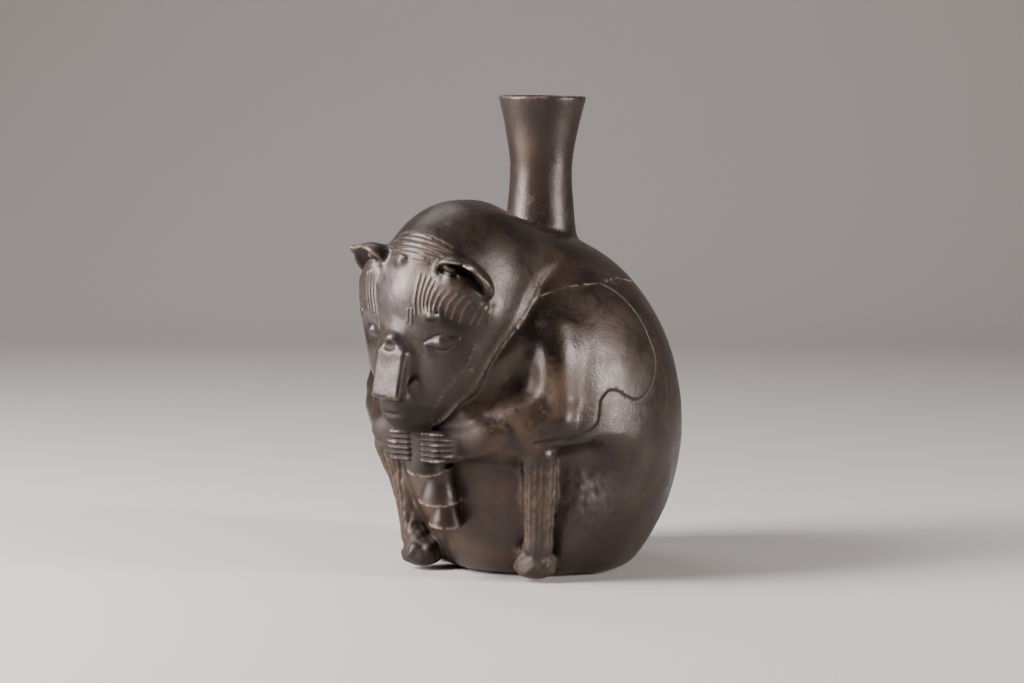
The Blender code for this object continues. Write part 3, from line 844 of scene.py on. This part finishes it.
def blackware():
    """Smoked and burnished clay, worn pale on its edges and earthy in patches, with painted shade darkening
    its grooves, creases and the mouth.
    """
    n = Nodes("blackware")
    broad = n.noise(24.0, 5.0, 0.6)
    mauve = n.noise(15.0, 3.0, 0.5, lean=0.3)
    patches = n.noise(62.0, 7.0, 0.68, lean=0.5)
    speckle = n.noise(1100.0, 3.0, 0.6)
    grime = n.noise(380.0, 5.0, 0.7)
    scuffs = n.noise(150.0, 6.0, 0.7, lean=1.2)
    colour = n.mix(n.ramp(broad, 0.36, 0.66), (0.0070, 0.0054, 0.0048), (0.022, 0.0150, 0.0115))
    colour = n.mix(n.math("MULTIPLY", n.ramp(mauve, 0.48, 0.66), 0.75), colour, (0.021, 0.0165, 0.0170))
    earth = n.math("MULTIPLY", n.mark("earth"), n.ramp(patches, 0.34, 0.66))
    colour = n.mix(earth, colour, (0.056, 0.034, 0.019))
    pale = n.math("MULTIPLY", n.ramp(scuffs, 0.58, 0.72), 0.34)
    colour = n.mix(pale, colour, (0.085, 0.062, 0.048))
    # Painted shade: darkening, and extra roughness, in grooves, creases, incised lines, the crack, the rough
    # feet and ground behind the knees, and the mouth under the muzzle.
    recess_shade = n.mark("recess_shade")
    colour = n.mix(n.math("MULTIPLY", recess_shade, 0.85), colour, (0.0065, 0.0052, 0.0048))
    flecks = n.math("MULTIPLY", n.ramp(speckle, 0.62, 0.74), n.ramp(scuffs, 0.46, 0.66))
    colour = n.mix(n.math("MULTIPLY", flecks, 0.5), colour, (0.12, 0.095, 0.078))
    worn = n.math("MULTIPLY", n.mark("worn"), n.ramp(grime, 0.34, 0.60))
    colour = n.mix(n.math("MULTIPLY", worn, 0.85), colour, (0.235, 0.178, 0.142))
    crust = n.math("MULTIPLY", n.mark("crust"), n.ramp(speckle, 0.46, 0.62))
    colour = n.mix(crust, colour, (0.36, 0.31, 0.26))
    colour = n.mix(n.math("MULTIPLY", n.mark("fill"), n.ramp(grime, 0.36, 0.56)), colour, (0.36, 0.31, 0.26))
    n.tree.links.new(colour, n.shader.inputs["Base Color"])
    rough = n.math("ADD", n.math("MULTIPLY", n.ramp(patches, 0.3, 0.7), 0.14), 0.29)
    rough = n.math("ADD", rough, n.math("MULTIPLY", earth, 0.14))
    rough = n.math("ADD", rough, n.math("MULTIPLY", pale, 0.3))
    rough = n.math("ADD", rough, n.math("MULTIPLY", recess_shade, 0.40))
    rough = n.math("ADD", rough, n.math("MULTIPLY", crust, 0.3))
    n.tree.links.new(rough, n.shader.inputs["Roughness"])
    n.shader.inputs["Specular IOR Level"].default_value = 0.46
    n.shader.inputs["Specular Tint"].default_value = (1.0, 0.88, 0.84, 1.0)
    grain = n.math("MULTIPLY", n.noise(520.0, 5.0, 0.65), 0.5)
    height = n.math("ADD", grain, n.math("MULTIPLY", patches, 0.7))
    height = n.math("ADD", height, n.math("MULTIPLY", speckle, 0.20))
    bump = n.add("ShaderNodeBump", {"Height": height, "Strength": 0.38, "Distance": 0.0006})
    n.tree.links.new(bump.outputs[0], n.shader.inputs["Normal"])
    return n.material


# Earthy patches: the pixel that each is centred on, and its radius and strength.
EARTH_PATCHES = (
    ((556, 380), 22.0, 0.95),
    ((505, 425), 22.0, 0.9),
    ((600, 335), 22.0, 0.7),
    ((500, 490), 16.0, 0.8),
    ((540, 510), 14.0, 0.9),
    ((545, 445), 9.0, 1.0),
    ((425, 285), 11.0, 0.6),
    ((452, 290), 10.0, 0.7),
    ((560, 268), 16.0, 0.6),
    ((525, 144), 6.0, 1.0),
)


def earthiness(points):
    """Where the smoked surface has worn to a brown, earthy one."""
    centres = on_surface([patch[0] for patch in EARTH_PATCHES], vessel)
    bearing = np.degrees(np.arctan2(np.abs(points[:, 0]), -points[:, 1]))
    total = 0.18 + 0.40 * fade(66.0 - points[:, 2], 0.0, 16.0) * fade(72.0 - bearing, 0.0, 24.0)
    for centre, (_, radius, strength) in zip(centres, EARTH_PATCHES):
        total = np.maximum(total, strength * np.exp(-((length(points - centre) / radius) ** 2)))
    return total


def vessel_piece():
    points, triangles, marks = make_vessel()
    turns = bend(points, triangles)
    mesh = bpy.data.meshes.new("bear_vessel_clay")
    mesh.vertices.add(len(points))
    mesh.vertices.foreach_set("co", (points * UNIT).astype(np.float32).ravel())
    mesh.loops.add(triangles.size)
    mesh.loops.foreach_set("vertex_index", triangles.astype(np.int32).ravel())
    mesh.polygons.add(len(triangles))
    mesh.polygons.foreach_set("loop_start", np.arange(0, triangles.size, 3, dtype=np.int32))
    mesh.update(calc_edges=True)
    mesh.validate()
    mesh.shade_smooth()
    worn = fade(turns, 0.18, 0.9) + 0.22 * marks["hair"] + 0.9 * marks["rims"] + 0.34 * marks["streak"]
    worn += 0.30 * marks["fold"]
    # Painted shade: grooves and creases (inward curvature), the incised flank and lid lines, the crack, the
    # rough feet and ground and the mouth are darkened in the colour.
    recess_shade = fade(-turns, 0.05, 0.55) + 0.8 * marks["flank"] + 0.6 * marks["lids"] + 0.5 * marks["split"]
    recess_shade += marks["mouth"] + 0.45 * marks["rough"]
    values = {
        "worn": np.clip(worn, 0.0, 1.0),
        "recess_shade": np.clip(recess_shade, 0.0, 1.0),
        "crust": np.clip(0.35 * marks["fold"] + 0.10 * marks["jaw"], 0.0, 1.0),
        "earth": earthiness(points),
        "fill": marks["crack"],
    }
    for name, value in values.items():
        mesh.attributes.new(name, "FLOAT", "POINT").data.foreach_set("value", value.astype(np.float32))
    piece = bpy.data.objects.new("bear_vessel_clay", mesh)
    bpy.context.scene.collection.objects.link(piece)
    thinning = piece.modifiers.new("thinning", "DECIMATE")
    thinning.ratio = min(1.0, MOST_TRIANGLES / len(triangles))
    graph = bpy.context.evaluated_depsgraph_get()
    thinned = piece.evaluated_get(graph)
    mesh = bpy.data.meshes.new_from_object(thinned, preserve_all_data_layers=True, depsgraph=graph)
    piece.modifiers.clear()
    piece.data = mesh
    mesh.materials.append(blackware())
    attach(piece, "root")
    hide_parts("bear_vessel")


def make_floor():
    profile = [(-2.0, 0.0)] + [
        (SWEEP_BACK + SWEEP_RADIUS * math.sin(turn), SWEEP_RADIUS * (1.0 - math.cos(turn)))
        for turn in np.linspace(0.0, math.pi / 2, 17)
    ]
    profile.append((SWEEP_BACK + SWEEP_RADIUS, 3.0))
    bearing = math.radians(CAMERA_BEARING)
    points = []
    for across in (-4.0, 4.0):
        for away, up in profile:
            x = across * math.cos(bearing) - away * math.sin(bearing)
            y = across * math.sin(bearing) + away * math.cos(bearing)
            points.append((x, y, up - 0.0003))
    count = len(profile)
    mesh = bpy.data.meshes.new("floor")
    mesh.from_pydata(points, [], [(k, k + count, k + count + 1, k + 1) for k in range(count - 1)])
    mesh.shade_smooth()
    floor = bpy.data.objects.new("floor", mesh)
    bpy.context.scene.collection.objects.link(floor)
    n = Nodes("floor")
    n.shader.inputs["Base Color"].default_value = (0.46, 0.44, 0.425, 1.0)
    n.shader.inputs["Roughness"].default_value = 0.85
    floor.data.materials.append(n.material)


def make_camera():
    data = bpy.data.cameras.new("camera")
    data.lens = LENS
    data.sensor_width = SENSOR
    camera = bpy.data.objects.new("camera", data)
    bearing = math.radians(CAMERA_BEARING)
    aside = Vector((math.cos(bearing), math.sin(bearing), 0.0))
    back = Vector((math.sin(bearing), -math.cos(bearing), 0.0))
    camera.location = back * CAMERA_DISTANCE + aside * CAMERA_ASIDE + Vector((0.0, 0.0, CAMERA_HEIGHT))
    camera.rotation_euler = (math.radians(90.0 - CAMERA_FALL), 0.0, bearing)
    bpy.context.scene.collection.objects.link(camera)
    bpy.context.scene.camera = camera


def make_light(name, bearing, height, distance, size, power, colour=(1.0, 1.0, 1.0)):
    """A soft upright light, its bearing measured from the camera's, aimed at the vessel."""
    data = bpy.data.lights.new(name, "AREA")
    data.shape = "RECTANGLE"
    data.size, data.size_y = size
    data.energy = power
    data.color = colour
    light = bpy.data.objects.new(name, data)
    angle = math.radians(CAMERA_BEARING + bearing)
    light.location = (distance * math.sin(angle), -distance * math.cos(angle), height)
    aim = Vector((0.0, -0.02, 0.11)) - light.location
    light.rotation_euler = aim.to_track_quat("-Z", "Y").to_euler()
    bpy.context.scene.collection.objects.link(light)


def make_lights():
    make_light("key", -74.0, 0.56, 0.95, (0.42, 0.90), 48.0, (1.0, 0.93, 0.91))
    make_light("side", 66.0, 0.36, 1.10, (0.16, 0.60), 20.0, (1.0, 0.94, 0.90))
    make_light("top", -150.0, 1.4, 0.8, (0.8, 0.8), 6.0)
    world = bpy.context.scene.world or bpy.data.worlds.new("world")
    bpy.context.scene.world = world
    world.use_nodes = True
    shade = world.node_tree.nodes["Background"]
    shade.inputs[0].default_value = (0.80, 0.80, 0.82, 1.0)
    shade.inputs[1].default_value = 0.05


make_camera()
make_floor()
make_lights()
vessel_piece()
